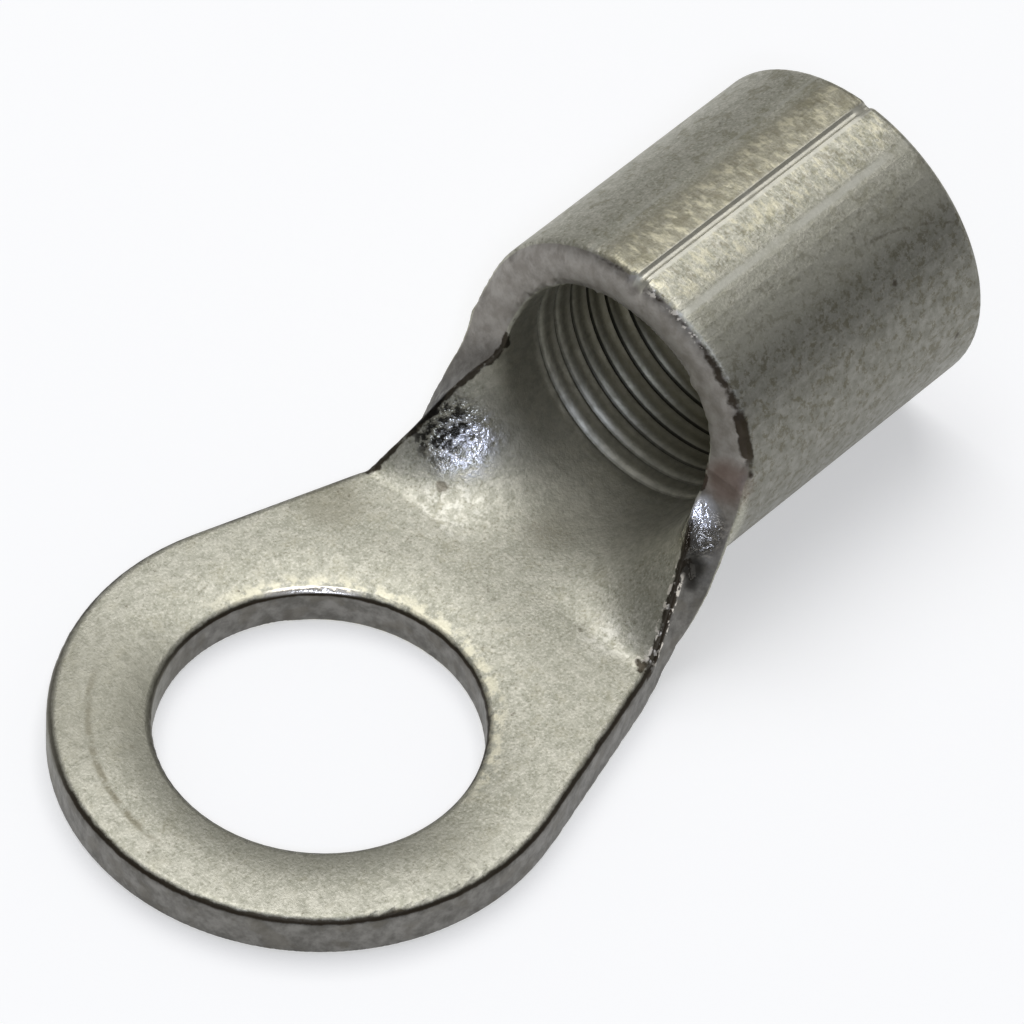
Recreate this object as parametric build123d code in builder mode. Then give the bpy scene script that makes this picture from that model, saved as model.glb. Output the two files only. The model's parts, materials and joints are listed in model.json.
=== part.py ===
import os
from math import cos, radians, sin, sqrt, tan

from build123d import *

# A ring cable terminal, stamped from copper strip, rolled, seam-brazed and tinned, in millimetres.
# The origin is the centre of the stud hole on the underside of the tongue.
# +X runs along the terminal to the barrel, +Z is up.

# Flat blank: ring tongue, neck and the start of the two wings that roll up into the barrel
strip = 1.6                  # thickness of the copper strip, in the tongue and in the barrel wall
stud_hole = 10.5             # clearance hole for an M10 stud
ring_width = 16.8            # across the round ring
ring_shift = 0.2             # the hole was punched this far to -Y of the ring's middle
flank_angle = 17.0           # each side of the tongue closes in towards the neck
neck_x = 10.3                # narrowest place of the blank
wing_angle = 14.0            # each side opens out again from the neck to its wing
neck_blend = 2.6             # radius at the neck
flare_radius = 0.9           # corner between the neck and the front edge of a wing

# Curl between the flat tongue and the barrel
crease_x = 8.5               # the flat tongue ends here and the strip starts to curl
wing_x = 12.95               # the strip is as round as the barrel here, and the wings begin
curl_power = 1.6             # above 1 the curl starts gently at the crease
edge_samples = 3             # sections for each piece of the blank's edge
sink = 0.005                 # the curled strip lies this far inside the faces it meets

# Barrel
barrel_bore = 8.4            # inside diameter for the stranded conductor
barrel_front = 13.4          # front of the barrel at its top
barrel_length = 11.25        # from there to the wire entry
lean_rise = 73.0             # a wing's front edge leaves the curled strip at this angle
lean_top = 9.0               # and leans back up to this height
seam_angle = 3.0             # the butt seam lies this many degrees to -Y of the top
seam_width = 0.12            # brazed strip at the bottom of the seam
seam_depth = 0.1
seam_slope = 45.0            # rise of the seam's two sides
notch_depth = 0.25           # the seam is open by this much at the wire entry
notch_length = 0.4
notch_slope = 65.0

# Serrations pressed into the strip before it was rolled
groove_start = 1.0           # from the front of the barrel to the middle of the first groove
groove_pitch = 0.78
groove_count = 12
groove_floor = 0.08
groove_depth = 0.1
groove_slope = 60.0          # rise of a groove's two sides

# Edges left by blanking and tumbling
die_roll = 0.35              # rounded upper edge of the tongue and of the curled strip
roll_fade = 0.8              # share of it that is gone where the wings begin
hole_roll = 0.25             # rounded upper edge of the hole
entry_round = 0.3            # outer edge of the wire entry
bore_round = 0.2             # inner edge of the wire entry

ring_radius = ring_width / 2
bore_radius = barrel_bore / 2
barrel_radius = bore_radius + strip
axis_z = barrel_radius
barrel_end = barrel_front + barrel_length
overrun = strip / 8          # cutting shapes run this far past what they cut


def curl(x):
    """Share of the barrel's curvature that the strip has reached at x, gentle at both ends."""
    return 1 - (1 - ((x - crease_x) / (wing_x - crease_x)) ** curl_power) ** 2


def face_point(reach, curled, radius, height):
    """Point of one face of the strip in a section, reach away from the middle along that face."""
    if curled == 0:
        return Vector(reach, height)
    arc = radius / curled
    return Vector(arc * sin(reach / arc), height + arc * (1 - cos(reach / arc)))


def face_line(reach, curled, radius, height):
    """One face of the strip in a section, from side to side."""
    end = face_point(reach, curled, radius, height)
    if curled == 0:
        return Line((-end.X, end.Y), (end.X, end.Y))
    return ThreePointArc((-end.X, end.Y), (0, height), (end.X, end.Y))


def channel(floor, depth, slope, rotation):
    """Section of a channel whose sides run on past the surface it is cut into."""
    height = depth + overrun
    mouth = floor + 2 * height / tan(radians(slope))
    return Trapezoid(mouth, height, slope, rotation=rotation, align=(Align.CENTER, Align.MAX))


# Edge of one half of the blank, drawn flat: X along the terminal, Y out from the middle
flank_start = Vector(ring_radius * sin(radians(flank_angle)), ring_radius * cos(radians(flank_angle)))
neck = Vector(neck_x, flank_start.Y - (neck_x - flank_start.X) * tan(radians(flank_angle)))
wing_root = Vector(wing_x, neck.Y + (wing_x - neck_x) * tan(radians(wing_angle)))
crease = Vector(crease_x, flank_start.Y - (crease_x - flank_start.X) * tan(radians(flank_angle)))
wing_side = wing_root + Vector(0, flare_radius)
with BuildLine() as blank_edge:
    FilletPolyline(crease, neck, wing_root, wing_side, radius=(neck_blend, flare_radius))

# Flat tongue, cut off at the crease
with BuildPart() as tongue:
    with BuildSketch():
        with Locations((0, ring_shift)):
            Circle(ring_radius)
        with Locations((crease_x, 0)):
            Rectangle(crease.Y, 2 * crease.Y, align=(Align.MAX, Align.CENTER))
        make_hull()
        Circle(stud_hole / 2, mode=Mode.SUBTRACT)
    extrude(amount=strip)
    rim = tongue.faces().sort_by(Axis.Z)[-1].inner_wires()[0].edges()
    fillet(rim, hole_roll)
    rim = tongue.faces().sort_by(Axis.Z)[-1].outer_wire().edges().sort_by(Axis.X)[:-1]
    fillet(rim, die_roll)

# Curled strip between the crease and the barrel
*pieces, wing_front = blank_edge.edges().sort_by(Axis.X)
stations = [piece @ (n / edge_samples) for piece in pieces for n in range(edge_samples)]
stations.append(wing_front @ 0)
wing_end = stations[-1].Y / bore_radius

# What the wings' front edges leave open: they lean back towards the top
lean_start = Vector(wing_x, axis_z - barrel_radius * cos(wing_end) + 2 * sink)
lean_end = Vector(barrel_front, lean_top)
above = axis_z + barrel_radius + overrun
with BuildSketch(Plane.XZ) as wing_lean:
    with BuildLine():
        Spline(lean_start, lean_end, tangents=[(cos(radians(lean_rise)), sin(radians(lean_rise))), (0, 1)])
        Polyline(lean_end, (barrel_front, above), (neck_x, above), (neck_x, lean_start.Y), lean_start)
    make_face()

# Each section has a face inside the curl, a longer one outside it, and rolled upper corners
with BuildPart() as trough:
    for p in stations:
        ahead = (p.X - crease_x) / (wing_x - crease_x)
        roll = die_roll * (1 - roll_fade * ahead)
        reach = p.Y - sink
        rolled_reach = reach - roll / cos(radians(flank_angle))
        lower_reach = reach * (1 + strip / bore_radius * ahead**2)
        upper_side = curl(p.X), bore_radius + sink, strip - sink
        lower_side = curl(p.X), barrel_radius - sink, sink
        rolled = face_point(rolled_reach, *upper_side)
        corner = face_point(reach, *upper_side)
        foot = face_point(lower_reach, *lower_side)
        sheared = corner + (foot - corner).normalized() * roll
        with BuildSketch(Plane.YZ.offset(p.X)):
            with BuildLine():
                face_line(rolled_reach, *upper_side)
                face_line(lower_reach, *lower_side)
                for side in (-1, 1):
                    across = [(side * v.X, v.Y) for v in (rolled, corner, sheared, foot)]
                    Bezier(*across[:3], weights=[1, sqrt(1 / 2), 1])
                    Line(*across[2:])
            make_face()
    loft()

# Barrel tube with its rounded wire entry
with BuildPart() as barrel:
    with BuildSketch(Plane.YZ.offset(wing_x)):
        with Locations((0, axis_z)):
            Circle(barrel_radius)
            Circle(bore_radius, mode=Mode.SUBTRACT)
    extrude(amount=barrel_end - wing_x)
    entry = barrel.edges().filter_by(GeomType.CIRCLE).group_by(Axis.X)[-1].sort_by(SortBy.RADIUS)
    fillet(entry[1], entry_round)
    entry = barrel.faces().sort_by(Axis.X)[-1].inner_wires()[0].edges()
    fillet(entry, bore_round)
    extrude(wing_lean.sketch, amount=barrel_radius + overrun, both=True, mode=Mode.SUBTRACT)

with BuildPart() as ring_terminal:
    add(tongue.part)
    add(trough.part)
    add(barrel.part)
    # Brazed butt seam
    across_seam = Vector(0, cos(radians(seam_angle)), sin(radians(seam_angle)))
    with BuildSketch(Plane((wing_x, 0, axis_z), x_dir=across_seam, z_dir=(1, 0, 0))):
        with Locations((0, barrel_radius - seam_depth)):
            channel(seam_width, seam_depth, seam_slope, 180)
    extrude(amount=barrel_end - wing_x, mode=Mode.SUBTRACT)
    with BuildSketch(Plane((barrel_end - notch_length, 0, axis_z), x_dir=across_seam, z_dir=(1, 0, 0))):
        with Locations((0, barrel_radius - notch_depth)):
            channel(seam_width, notch_depth, notch_slope, 180)
    extrude(amount=notch_length, mode=Mode.SUBTRACT)
    # Serrations round the inside of the barrel
    with BuildSketch(Plane.XZ):
        with Locations((barrel_front + groove_start, axis_z + bore_radius + groove_depth)):
            with GridLocations(groove_pitch, 0, groove_count, 1, align=(Align.MIN, Align.CENTER)):
                channel(groove_floor, groove_depth, groove_slope, 0)
    revolve(axis=Axis((0, 0, axis_z), (1, 0, 0)), mode=Mode.SUBTRACT)
ring_terminal.part.label = "ring_terminal"

os.makedirs("parts", exist_ok=True)
export_step(ring_terminal.part, "parts/ring_terminal.step")
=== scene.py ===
import json
import math

import bmesh
import bpy
from mathutils import Matrix, Vector
from mathutils.kdtree import KDTree


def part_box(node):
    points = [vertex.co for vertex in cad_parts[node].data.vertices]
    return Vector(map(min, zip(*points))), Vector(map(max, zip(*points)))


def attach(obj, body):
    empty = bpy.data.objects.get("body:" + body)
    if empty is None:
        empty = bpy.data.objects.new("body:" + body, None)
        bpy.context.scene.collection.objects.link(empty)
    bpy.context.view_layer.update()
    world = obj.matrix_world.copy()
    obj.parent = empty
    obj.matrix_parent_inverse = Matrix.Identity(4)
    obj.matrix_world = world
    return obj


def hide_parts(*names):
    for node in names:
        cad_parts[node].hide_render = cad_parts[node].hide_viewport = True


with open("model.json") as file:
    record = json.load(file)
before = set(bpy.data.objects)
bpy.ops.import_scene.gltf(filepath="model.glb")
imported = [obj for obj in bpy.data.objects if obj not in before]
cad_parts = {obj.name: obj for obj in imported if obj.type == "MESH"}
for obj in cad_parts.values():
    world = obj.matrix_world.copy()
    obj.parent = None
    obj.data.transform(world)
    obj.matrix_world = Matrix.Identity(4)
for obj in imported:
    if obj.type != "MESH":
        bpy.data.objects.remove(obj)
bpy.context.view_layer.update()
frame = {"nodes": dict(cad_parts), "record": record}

MM = 0.001

# Sizes that the wear and the material follow, in metres
TERMINAL = "ring_terminal"
LOW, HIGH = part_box(TERMINAL)
BARREL_RADIUS = HIGH.z / 2
MOUNTS = {m["name"]: m for m in frame["record"]["mounts"]}
HOLE_RADIUS = MOUNTS["stud_hole"]["dims"]["r_mm"] * MM
BORE_RADIUS = MOUNTS["barrel"]["dims"]["r_mm"] * MM
STRIP = BARREL_RADIUS - BORE_RADIUS
CREASE = 8.5 * MM
WING = 12.95 * MM
CURL_POWER = 1.6
FRONT = 13.4 * MM
SEAM_TURN = math.radians(3)
SINK = 0.007 * MM

# The punch drew the top of the tongue down around the hole
DISH_RADIUS = 7.3 * MM
DISH_DEPTH = 0.22 * MM

# How the edges are worn
WORN_REACH = 0.12 * MM
FRONT_REACH = 0.45 * MM
SEAM_REACH = 0.3 * MM
NOTCH = 0.45 * MM
FINE_EDGE = 0.16 * MM
COARSE_EDGE = 0.6 * MM

# Stains, nicks and painted shade: place, reach and soft border in mm, colour, share
STAINS_AND_SHADE = (
    ((9.47, 3.68, 1.86), 0.16, 0.12, "#6C6558", 0.7),
    ((6.74, 5.93, 1.6), 0.5, 1.2, "#84806F", 0.5),
    ((10.8, 0.1, 1.6), 0.3, 1.0, "#8B8778", 0.4),
    ((-4.5, 5.6, 1.6), 1.5, 3.0, "#8D8B7E", 0.5),
    ((-1.0, -6.5, 1.6), 0.3, 1.8, "#8D8B7E", 0.3),
    ((21.1, -4.7, 9.2), 0.05, 0.1, "#453D30", 0.8),
    ((23.37, -5.8, 5.79), 0.05, 0.12, "#453D30", 0.8),
    ((13.3, -5.7, 6.9), 0.06, 0.12, "#2E271E", 0.9),
    ((12.96, -5.0, 6.3), 0.4, 0.7, "#7A6258", 0.6),
    # Painted shade: near-black patches in the folds of the right crumpled corner
    ((11.35, -5.36, 3.69), 0.2, 0.35, "#2B2925", 0.85),
    ((11.5, -5.25, 4.15), 0.1, 0.3, "#2B2925", 0.8),
    ((11.15, -5.45, 3.3), 0.1, 0.25, "#2B2925", 0.8),
)

# How much brighter the backdrop looks than it lights the terminal
FLOOR_LIFT = 0.42

# Camera, fitted to the photograph
CAMERA_PLACE = Vector((-121.748, -106.365, 194.495)) * MM
CAMERA_AZIMUTH = -50.8
CAMERA_ELEVATION = 48.498
CAMERA_ROLL = 4.569
SENSOR = 36.0
LENS = 8048.134 / 1024 * SENSOR


def linear(hex_colour):
    """An sRGB hex colour as linear red, green, blue and alpha."""
    channels = [int(hex_colour[i:i + 2], 16) / 255 for i in (1, 3, 5)]
    return [c / 12.92 if c <= 0.04045 else ((c + 0.055) / 1.055) ** 2.4 for c in channels] + [1]


def direction(azimuth, elevation):
    """Unit vector towards this azimuth, in degrees from -Y towards +X, and elevation."""
    azimuth, elevation = math.radians(azimuth), math.radians(elevation)
    return Vector((math.sin(azimuth) * math.cos(elevation), -math.cos(azimuth) * math.cos(elevation),
                   math.sin(elevation)))


def add_camera():
    back = direction(CAMERA_AZIMUTH, CAMERA_ELEVATION)
    right = direction(CAMERA_AZIMUTH + 90, 0)
    turn = Matrix((right, back.cross(right), back)).transposed()
    turn = turn @ Matrix.Rotation(math.radians(CAMERA_ROLL), 3, "Z")
    camera = bpy.data.objects.new("camera", bpy.data.cameras.new("camera"))
    camera.data.sensor_width = SENSOR
    camera.data.lens = LENS
    camera.data.clip_start = 0.01
    camera.data.clip_end = 10
    camera.matrix_world = Matrix.Translation(CAMERA_PLACE) @ turn.to_4x4()
    bpy.context.scene.collection.objects.link(camera)
    bpy.context.scene.camera = camera


def node(tree, kind, inputs=(), **settings):
    """Adds one shader node with its settings, and links or sets its inputs."""
    made = tree.nodes.new(kind)
    for name, value in settings.items():
        setattr(made, name, value)
    for socket, value in dict(inputs).items():
        if isinstance(value, bpy.types.NodeSocket):
            tree.links.new(value, made.inputs[socket])
        else:
            made.inputs[socket].default_value = value
    return made


def new_material(name):
    material = bpy.data.materials.new(name)
    material.use_nodes = True
    material.node_tree.nodes.clear()
    return material, material.node_tree


def floor_material():
    """White seamless backdrop paper, matt; what sees or mirrors it finds it white."""
    material, tree = new_material("backdrop_paper")
    rays = node(tree, "ShaderNodeLightPath").outputs
    seen = node(tree, "ShaderNodeMath", {0: rays["Is Camera Ray"], 1: rays["Is Glossy Ray"]}, operation="ADD")
    seen = node(tree, "ShaderNodeMath", {0: seen.outputs[0], 1: rays["Is Transmission Ray"]}, operation="ADD")
    glow = node(tree, "ShaderNodeMath", {0: seen.outputs[0], 1: FLOOR_LIFT}, operation="MULTIPLY")
    paper = node(tree, "ShaderNodeBsdfPrincipled", {
        "Base Color": linear("#D6D6D6"), "Roughness": 0.9, "Emission Color": (1, 1, 1, 1),
        "Emission Strength": glow.outputs[0],
    })
    node(tree, "ShaderNodeOutputMaterial", {"Surface": paper.outputs[0]})
    return material


def add_floor():
    mesh = bpy.data.meshes.new("floor")
    shape = bmesh.new()
    bmesh.ops.create_grid(shape, x_segments=1, y_segments=1, size=1.5)
    bmesh.ops.translate(shape, verts=shape.verts, vec=(0, 0, LOW.z - 0.01 * MM))
    shape.to_mesh(mesh)
    shape.free()
    floor = bpy.data.objects.new("floor", mesh)
    bpy.context.scene.collection.objects.link(floor)
    floor.data.materials.append(floor_material())


def add_softbox(name, azimuth, elevation, distance, size, power, colour="#FFFFFF"):
    """A square area lamp that faces the terminal from this direction."""
    lamp = bpy.data.lights.new(name, "AREA")
    lamp.size = size
    lamp.energy = power
    lamp.color = linear(colour)[:3]
    box = bpy.data.objects.new(name, lamp)
    box.location = direction(azimuth, elevation) * distance
    box.rotation_euler = (-box.location).to_track_quat("-Z", "Y").to_euler()
    bpy.context.scene.collection.objects.link(box)


def add_world(strength):
    world = bpy.data.worlds.new("studio")
    world.use_nodes = True
    tree = world.node_tree
    tree.nodes.clear()
    sky = node(tree, "ShaderNodeBackground", {"Color": (1, 1, 1, 1), "Strength": strength})
    node(tree, "ShaderNodeOutputWorld", {"Surface": sky.outputs[0]})
    bpy.context.scene.world = world


def tinned_copper():
    """Electrotinned copper, tumbled: satin, finely mottled, brown along its sheared edges; painted glints, highlights
    and shade in its colour.
    """
    material, tree = new_material("tinned_copper")
    place = node(tree, "ShaderNodeTexCoord").outputs["Object"]
    x, y, z = node(tree, "ShaderNodeSeparateXYZ", {0: place}).outputs

    def add(kind, inputs=(), **settings):
        return node(tree, kind, inputs, **settings).outputs[0]

    def noise(size_mm, detail=2.0, roughness=0.5, vector=place):
        return add("ShaderNodeTexNoise", {
            "Vector": vector, "Scale": 1 / (size_mm * MM), "Detail": detail, "Roughness": roughness,
        })

    def stepped(value, low, high):
        return add("ShaderNodeMapRange", {0: value, 1: low, 2: high, 3: 0.0, 4: 1.0}, interpolation_type="SMOOTHSTEP")

    def sums(operation, *values):
        total = values[0]
        for value in values[1:]:
            total = add("ShaderNodeMath", {0: total, 1: value}, operation=operation)
        return total

    def times(*values):
        return sums("MULTIPLY", *values)

    def band(value, centre, half_width, soft):
        """1 within half_width of the centre, 0 beyond the soft border."""
        off = add("ShaderNodeMath", {0: sums("SUBTRACT", value, centre)}, operation="ABSOLUTE")
        return stepped(off, half_width + soft, half_width)

    warp = node(tree, "ShaderNodeTexNoise", {"Vector": place, "Scale": 1 / (0.7 * MM), "Detail": 3.0}).outputs[1]
    warped = add("ShaderNodeVectorMath", {0: warp, 1: [0.6 * MM] * 3, 2: place}, operation="MULTIPLY_ADD")

    def near(point_mm, reach_mm, soft_mm):
        """1 round a point of the terminal, 0 beyond the soft and ragged border."""
        middle = Vector(point_mm) * MM + Vector([0.3 * MM] * 3)
        away = node(tree, "ShaderNodeVectorMath", {0: warped, 1: middle}, operation="DISTANCE")
        return stepped(away.outputs["Value"], (reach_mm + soft_mm) * MM, reach_mm * MM)

    def blend(share, first, second):
        colours = {key: linear(c) if isinstance(c, str) else c for key, c in ((6, first), (7, second))}
        return node(tree, "ShaderNodeMix", {0: share, **colours}, data_type="RGBA").outputs[2]

    def attribute(name):
        return node(tree, "ShaderNodeAttribute", attribute_name=name).outputs["Fac"]

    inset, bore, rim, brim = (attribute(name) for name in ("inset", "bore", "rim", "brim"))

    # Distance along the barrel's outside, in metres from the top towards -Y
    above = sums("SUBTRACT", z, BARREL_RADIUS)
    arc = times(add("ShaderNodeMath", {0: times(y, -1.0), 1: above}, operation="ARCTAN2"), BARREL_RADIUS)
    radius = add("ShaderNodeMath", {0: sums("ADD", times(y, y), times(above, above))}, operation="SQRT")
    outside = times(stepped(x, WING, FRONT), stepped(radius, BARREL_RADIUS - 0.5 * MM, BARREL_RADIUS - 0.3 * MM))
    seam_arc = SEAM_TURN * BARREL_RADIUS

    # Tin: fine grain, soft blotches, brown specks and a few stains, with painted shade and painted highlights round
    # the hole and down the barrel's side
    grain = noise(0.1, 2.0, 0.6)
    mottle = noise(0.38, 3.0, 0.6)
    clouds = noise(1.7, 2.0, 0.5)
    tin = blend(stepped(mottle, 0.35, 0.65), "#AAA99B", "#BAB8AB")
    tin = blend(times(stepped(clouds, 0.45, 0.7), 0.35), tin, "#A2A192")
    tin = blend(times(stepped(grain, 0.5, 0.68), 0.6), tin, "#D4D1C5")
    tin = blend(times(stepped(grain, 0.44, 0.28), 0.6), tin, "#7F7C6B")
    blotches = noise(0.75, 4.0, 0.75)
    blotched = sums("ADD", 0.3, times(outside, 0.25))
    tin = blend(times(stepped(blotches, 0.52, 0.64), blotched), tin, "#89866F")
    hole_away = add("ShaderNodeMath", {0: sums("ADD", times(x, x), times(y, y))}, operation="SQRT")
    # Painted shade: the front slope of the dish round the hole is darkened
    painted_dish_shade = stepped(hole_away, 7.0 * MM, 5.7 * MM)
    tin = blend(times(painted_dish_shade, stepped(x, 0.5 * MM, -2.5 * MM), 0.5), tin, "#86857A")
    ring = stepped(x, 5.0 * MM, 2.0 * MM)
    # Painted highlight: a lighter band round the front part of the ring, just inside its outer edge
    tin = blend(times(band(hole_away, 7.55 * MM, 0.3 * MM, 0.35 * MM), ring, stepped(mottle, 0.3, 0.55), 0.2),
                tin, "#D2D0C4")
    # Painted highlight, warm: the rear slope of the dish next to the hole is lightened
    tin = blend(times(stepped(hole_away, 6.1 * MM, 5.5 * MM), stepped(x, 0, 2.5 * MM), stepped(mottle, 0.42, 0.58), 0.6),
                tin, "#DDD8C0")
    # Painted shade: the barrel's outside is darkened down its side towards -Y
    painted_low_side_shade = times(outside, stepped(arc, 2.0 * MM, 6.0 * MM))
    tin = blend(times(painted_low_side_shade, 0.85), tin, blend(stepped(mottle, 0.3, 0.7), "#7E7D74", "#8D8C85"))
    tin = blend(times(outside, stepped(arc, 2.2 * MM, 2.8 * MM), stepped(noise(0.3, 4.0, 0.75), 0.5, 0.62), 0.7),
                tin, "#6E6A58")
    tin = blend(times(outside, band(arc, 3.2 * MM, 0.8 * MM, 0.9 * MM), 0.35), tin, "#C6C4B6")
    behind = sums("SUBTRACT", x, 20.9 * MM)
    bow = times(behind, sums("ADD", 0.1, times(behind, 0.08 / MM)))
    scratch = times(outside, band(sums("SUBTRACT", arc, bow), 3.95 * MM, 0.02 * MM, 0.05 * MM),
                    stepped(x, 20.6 * MM, 21.4 * MM))
    tin = blend(times(scratch, stepped(mottle, 0.4, 0.55), 0.35), tin, "#5E5646")
    stains = stepped(noise(0.9, 4.0, 0.7), 0.6, 0.72)
    specks = stepped(noise(0.16, 2.0, 0.6), 0.5, 0.62)
    tin = blend(times(stains, specks, 0.7), tin, "#6F695A")
    scored = times(band(hole_away, 7.25 * MM, 0.03 * MM, 0.16 * MM), near((-6.2, 3.7, 1.6), 2.5, 2.0),
                   stepped(mottle, 0.35, 0.55))
    tin = blend(times(scored, 0.8), tin, "#77725F")

    # Barrel: smooth lines left by the rolling die, chatter marks beside the seam
    streak = times(outside, sums("MAXIMUM", band(arc, 2.13 * MM, 0.06 * MM, 0.12 * MM),
                                 times(band(arc, -1.8 * MM, 0.03 * MM, 0.1 * MM), 0.7)))
    tin = blend(times(streak, stepped(clouds, 0.3, 0.55), 0.65), tin, "#CBCAC0")
    chatter_zone = times(outside, band(arc, 0.3 * MM, 1.2 * MM, 0.6 * MM))
    along = add("ShaderNodeCombineXYZ", {0: times(x, 2.4), 1: arc})
    chatter = noise(0.7, 3.0, 0.65, along)
    tin = blend(times(outside, band(arc, -0.6 * MM, 0.5 * MM, 0.7 * MM), 0.55), tin, "#8E8975")
    tin = blend(times(chatter_zone, stepped(chatter, 0.46, 0.66), 0.65), tin, "#DAD4BA")
    tin = blend(times(chatter_zone, stepped(chatter, 0.46, 0.36), 0.5), tin, "#8C8672")
    seam = times(outside, band(arc, seam_arc + 0.06 * MM, 0.2 * MM, 0.08 * MM))
    tin = blend(times(seam, 0.8), tin, "#CBC9BE")

    # Inside of the barrel with painted shade deeper in and in its grooves, sheared faces and the brown line along
    # their edges
    inner = blend(stepped(mottle, 0.3, 0.7), "#AAA89C", "#C6C4B8")
    # Painted shade: the inside is darkened deeper into the barrel
    inner = blend(times(stepped(x, 13.8 * MM, 17.5 * MM), 0.8), inner, "#8A8672")
    tin = blend(times(bore, 0.85), tin, inner)
    # Painted shade in the serration grooves, darker deeper in
    painted_groove_shade = times(stepped(x, FRONT + 0.4 * MM, FRONT + 0.5 * MM), stepped(radius, BORE_RADIUS + 0.5 * MM, BORE_RADIUS + 0.3 * MM),
                   stepped(radius, BORE_RADIUS + 0.02 * MM, BORE_RADIUS + 0.07 * MM))
    painted_groove_shade_share = sums("ADD", 0.35, times(stepped(x, 14.6 * MM, 17.0 * MM), 0.5))
    tin = blend(times(painted_groove_shade, painted_groove_shade_share), tin, "#1E1C15")
    patches = stepped(noise(0.5, 3.0, 0.65), 0.3, 0.7)
    cut = blend(patches, "#6C6A65", "#8D8B86")
    cut = blend(times(stepped(noise(0.8, 2.0, 0.5), 0.5, 0.65), 0.5), cut, "#6E6A61")
    front_face = times(stepped(x, 11.5 * MM, 13.0 * MM), stepped(x, 14.0 * MM, 13.6 * MM))
    cut = blend(times(front_face, 0.85), cut, blend(patches, "#948F88", "#A9A59F"))
    sheared = times(stepped(inset, 0.08, 0.13), sums("SUBTRACT", 1.0, seam))
    colour = blend(sheared, tin, cut)
    frayed = sums("SUBTRACT", noise(0.45, 3.0, 0.6), 0.5)
    above_middle = stepped(z, 0.9 * MM, 1.1 * MM)
    tongue_line = times(band(sums("ADD", inset, times(frayed, 0.1)), 0.12, 0.035, 0.06), above_middle,
                        stepped(x, CREASE + 1.5 * MM, CREASE))
    brim_line = stepped(sums("ADD", brim, times(frayed, 0.3)), 0.12, 0.04)
    thick = sums("ADD", 0.23, times(stepped(arc, 2.6 * MM, 4.2 * MM), 0.07))
    rim_line = times(stepped(sums("SUBTRACT", sums("ADD", rim, times(frayed, 0.3)), thick), 0.06, -0.04),
                     stepped(arc, -2.8 * MM, -1.2 * MM), stepped(arc, 8.2 * MM, 7.4 * MM))
    colour = blend(times(sums("MAXIMUM", tongue_line, brim_line, rim_line), 0.92), colour, "#352D22")
    # Painted highlights: glints along the front rim, the hole's rear edge and the right brim
    painted_glints = times(band(rim, 0.25, 0.03, 0.05), band(arc, 2.1 * MM, 1.1 * MM, 0.4 * MM),
                   stepped(noise(0.25, 2.0, 0.6), 0.54, 0.6))
    painted_hole_glint = times(band(hole_away, 5.4 * MM, 0.06 * MM, 0.06 * MM), near((3.6, 3.8, 1.5), 0.9, 0.9))
    painted_brim_glint = times(band(brim, 0.1, 0.05, 0.05), near((10.2, -5.2, 2.6), 1.2, 0.8),
                       stepped(noise(0.25, 2.0, 0.6), 0.5, 0.58))
    painted_glints = sums("MAXIMUM", painted_glints, painted_hole_glint, painted_brim_glint)
    colour = blend(painted_glints, colour, "#F0EADF")

    corner = times(near((10.8, 4.2, 3.0), 0.7, 1.1), sums("SUBTRACT", 1.0, sheared))
    crumpled = sums("MAXIMUM", corner, near((12.1, -4.9, 4.7), 0.6, 0.5))
    folds = noise(0.3, 3.0, 0.65)
    # Painted highlight: bright bluish-white patches on the crumpled corners
    painted_corner_highlight = sums("MAXIMUM", times(corner, near((10.9, 3.5, 2.5), 0.7, 0.9), stepped(folds, 0.42, 0.52)),
                near((12.4, -4.7, 5.1), 0.2, 0.5))
    colour = blend(times(painted_corner_highlight, 0.9), colour, "#EFF0F5")
    # Painted shade: near-black in the folds of the left crumpled corner
    painted_fold_shade = times(near((10.5, 4.8, 3.2), 0.7, 0.9), stepped(folds, 0.6, 0.44))
    colour = blend(times(painted_fold_shade, 0.95), colour, "#262422")
    # Painted highlight: light facets beside the crease, at its right and left ends
    painted_facet_highlight = times(near((8.8, -4.3, 1.65), 0.4, 0.9), stepped(folds, 0.44, 0.58))
    painted_facet_highlight = sums("MAXIMUM", painted_facet_highlight, times(near((9.05, 3.0, 1.7), 0.7, 0.9), stepped(folds, 0.48, 0.62)))
    colour = blend(times(painted_facet_highlight, 0.6), colour, "#E2E0D6")
    for spot, reach, soft, stain_and_shade, share in STAINS_AND_SHADE:
        colour = blend(times(near(spot, reach, soft), share), colour, stain_and_shade)
    relief = sums("ADD", times(grain, 1.0), times(mottle, 1.2), times(chatter, chatter_zone, 1.5),
                  times(folds, crumpled, 9.0))
    calm = sums("SUBTRACT", 1.0, times(sums("MAXIMUM", streak, seam), 0.8))
    bump = add("ShaderNodeBump", {"Strength": calm, "Distance": 0.009 * MM, "Height": relief})
    rough = add("ShaderNodeMapRange", {0: mottle, 1: 0.3, 2: 0.7, 3: 0.56, 4: 0.48})
    rough = sums("SUBTRACT", rough, times(sums("MAXIMUM", crumpled, painted_hole_glint), 0.28))
    metal = node(tree, "ShaderNodeBsdfPrincipled", {
        "Base Color": colour, "Metallic": 1.0, "Roughness": rough, "Normal": bump,
    })
    node(tree, "ShaderNodeOutputMaterial", {"Surface": metal.outputs[0]})
    return material


def strip_depths(co):
    """How far a point lies below the strip's upper face and above its lower face."""
    ahead = min(max((co.x - CREASE) / (WING - CREASE), 0), 1)
    share = 1 - (1 - ahead ** CURL_POWER) ** 2
    if share < 0.01:
        return STRIP - co.z, co.z
    upper = math.hypot(co.y, co.z - STRIP - BORE_RADIUS / share) - BORE_RADIUS / share
    lower = BARREL_RADIUS / share - math.hypot(co.y, co.z - BARREL_RADIUS / share)
    return upper, lower


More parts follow.
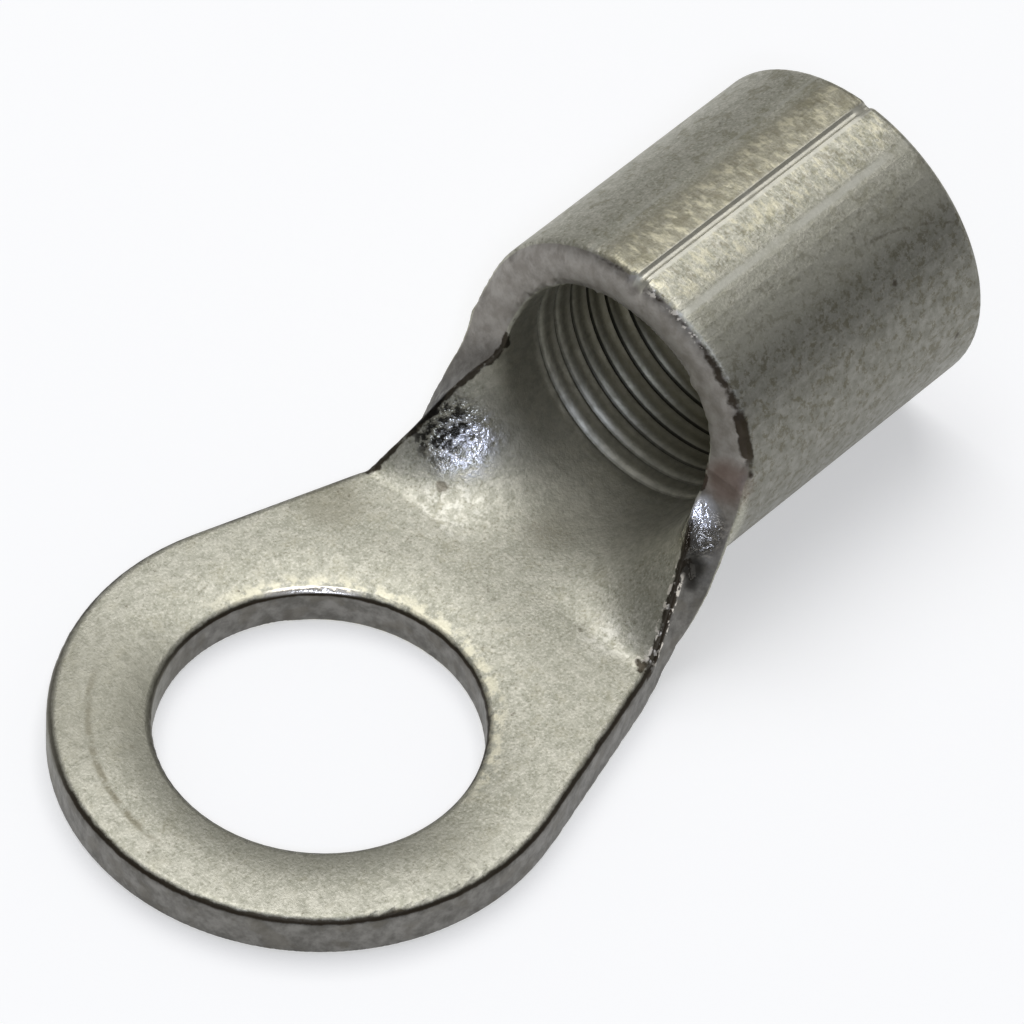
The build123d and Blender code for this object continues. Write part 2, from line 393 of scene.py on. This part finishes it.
def dish(co):
    """Draws the tongue's top down around the hole, and the hole's wall with it."""
    away = math.hypot(co.x, co.y)
    if away < DISH_RADIUS and co.z < STRIP * 1.05:
        share = (DISH_RADIUS - away) / (DISH_RADIUS - HOLE_RADIUS)
        co.z -= DISH_DEPTH * min(share, 1) ** 2 * co.z / STRIP


def split_edges(shape, tree):
    """Splits long edges, and those near a bend more often, so that edges can be worn round."""
    for _ in range(6):
        long_edges = []
        for edge in shape.edges:
            middle = (edge.verts[0].co + edge.verts[1].co) / 2
            close = tree.find(middle)[2] < 1.5 * WORN_REACH
            if edge.calc_length() > (FINE_EDGE if close else COARSE_EDGE):
                long_edges.append(edge)
        if not long_edges:
            break
        bmesh.ops.subdivide_edges(shape, edges=long_edges, cuts=1, use_single_edge=True, use_grid_fill=True)
        bmesh.ops.triangulate(shape, faces=[f for f in shape.faces if len(f.verts) > 3])


def bent_points(shape, angle, wanted):
    """Points along the edges that bend more than the angle and are wanted."""
    points = []
    for edge in shape.edges:
        start, end = (v.co for v in edge.verts)
        if edge.is_manifold and edge.calc_face_angle() > math.radians(angle) and wanted(start, end):
            pieces = max(1, math.ceil((end - start).length / FINE_EDGE))
            points += [start.lerp(end, n / pieces) for n in range(pieces + 1)]
    tree = KDTree(len(points))
    for n, point in enumerate(points):
        tree.insert(point, n)
    tree.balance()
    return tree


def off_axis(co):
    return math.hypot(co.y, co.z - BARREL_RADIUS)


def is_bend(start, end):
    """Any bend but those of the serrations."""
    middle = (start + end) / 2
    inside = off_axis(middle) < BORE_RADIUS + 0.3 * MM
    return not (inside and FRONT + 0.5 * MM < middle.x < HIGH.x - 0.3 * MM)


def is_edge(start, end):
    """A real edge, and not the joint of two stages of the curl."""
    joint = any(abs(start.x - place) < 0.03 * MM and abs(end.x - place) < 0.03 * MM for place in (CREASE, WING))
    return is_bend(start, end) and not joint


def is_brim(start, end):
    """An upper edge of the curled strip."""
    middle = (start + end) / 2
    upper, lower = strip_depths(middle)
    return is_edge(start, end) and CREASE < middle.x < FRONT and upper < 0.5 * lower and (
        abs(middle.y) > (5.1 if middle.x < 10.4 * MM else 4.5) * MM or middle.x > 12.2 * MM)


def is_front_rim(start, end):
    """An outer edge of the barrel's front."""
    middle = (start + end) / 2
    return is_edge(start, end) and WING < middle.x < FRONT + 0.1 * MM and off_axis(middle) > BARREL_RADIUS - 0.15 * MM


def is_seam(co):
    """On the outside of the barrel, at the brazed seam."""
    arc = math.atan2(-co.y, co.z - BARREL_RADIUS) * BARREL_RADIUS
    return WING < co.x < HIGH.x - NOTCH and off_axis(co) > BORE_RADIUS + STRIP / 2 and abs(
        arc - SEAM_TURN * BARREL_RADIUS) < SEAM_REACH


def smooth(shape, times, wanted):
    """Smooths the wanted vertices again and again, over a reach that shrinks a little each time."""
    for n in range(times):
        worn = [v for v in shape.verts if wanted(v.co, 1 - 0.5 * n / times)]
        bmesh.ops.smooth_vert(shape, verts=worn, factor=0.5, use_axis_x=True, use_axis_y=True, use_axis_z=True)


def terminal():
    """The stamped, rolled and brazed terminal: a merged copy of the CAD node, its edges worn round."""
    cad = frame["nodes"][TERMINAL]
    shape = bmesh.new()
    shape.from_mesh(cad.data)
    bmesh.ops.remove_doubles(shape, verts=shape.verts, dist=SINK)
    bmesh.ops.dissolve_degenerate(shape, dist=SINK, edges=shape.edges)
    bmesh.ops.triangulate(shape, faces=[f for f in shape.faces if len(f.verts) > 3])
    bends = bent_points(shape, 10, is_bend)
    edges = bent_points(shape, 30, is_edge)
    front = bent_points(shape, 30, is_front_rim)
    brims = bent_points(shape, 12, lambda start, end: is_brim(start, end) and (
        start.x < 12.2 * MM or edges.find(start)[2] < 0.3 * MM))
    split_edges(shape, bends)
    flat = [e for e in shape.edges if e.is_manifold and e.calc_face_angle() < math.radians(3)]
    bmesh.ops.beautify_fill(shape, faces=shape.faces, edges=flat, method="AREA")
    smooth(shape, 10, lambda co, share: min(abs(co.x - CREASE), abs(co.x - WING)) < 0.4 * MM * share
           and edges.find(co)[2] > WORN_REACH / 2)
    smooth(shape, 4, lambda co, share: edges.find(co)[2] < WORN_REACH)
    smooth(shape, 12, lambda co, share: front.find(co)[2] < FRONT_REACH * share)
    smooth(shape, 12, lambda co, share: is_seam(co))
    layers = {name: shape.verts.layers.float.new(name) for name in ("inset", "bore", "rim", "brim")}
    for v in shape.verts:
        inner = off_axis(v.co) < BORE_RADIUS + STRIP / 4 and v.co.x > CREASE
        serrated = inner and FRONT + 0.4 * MM < v.co.x < HIGH.x - 0.4 * MM
        v[layers["inset"]] = 0 if serrated else min(strip_depths(v.co)) / MM
        v[layers["bore"]] = min(max((v.co.x - 9.6 * MM) / (3.4 * MM), 0), 1) if inner else 0
        v[layers["rim"]] = front.find(v.co)[2] / MM
        v[layers["brim"]] = brims.find(v.co)[2] / MM
        dish(v.co)
    mesh = bpy.data.meshes.new("tinned_terminal")
    shape.to_mesh(mesh)
    shape.free()
    piece = bpy.data.objects.new("tinned_terminal", mesh)
    bpy.context.scene.collection.objects.link(piece)
    mesh.materials.append(tinned_copper())
    mesh.shade_smooth()
    mesh.set_sharp_from_angle(angle=math.radians(40))
    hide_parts(TERMINAL)
    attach(piece, "root")
    return piece


terminal()
add_floor()
add_camera()
add_world(0.2)
add_softbox("key_softbox", 140, 74, 0.6, 0.5, 2.3)
add_softbox("front_lamp", -48, 48, 0.5, 0.06, 0.42, "#DDE6FF")

bpy.context.scene.view_settings.view_transform = "Standard"
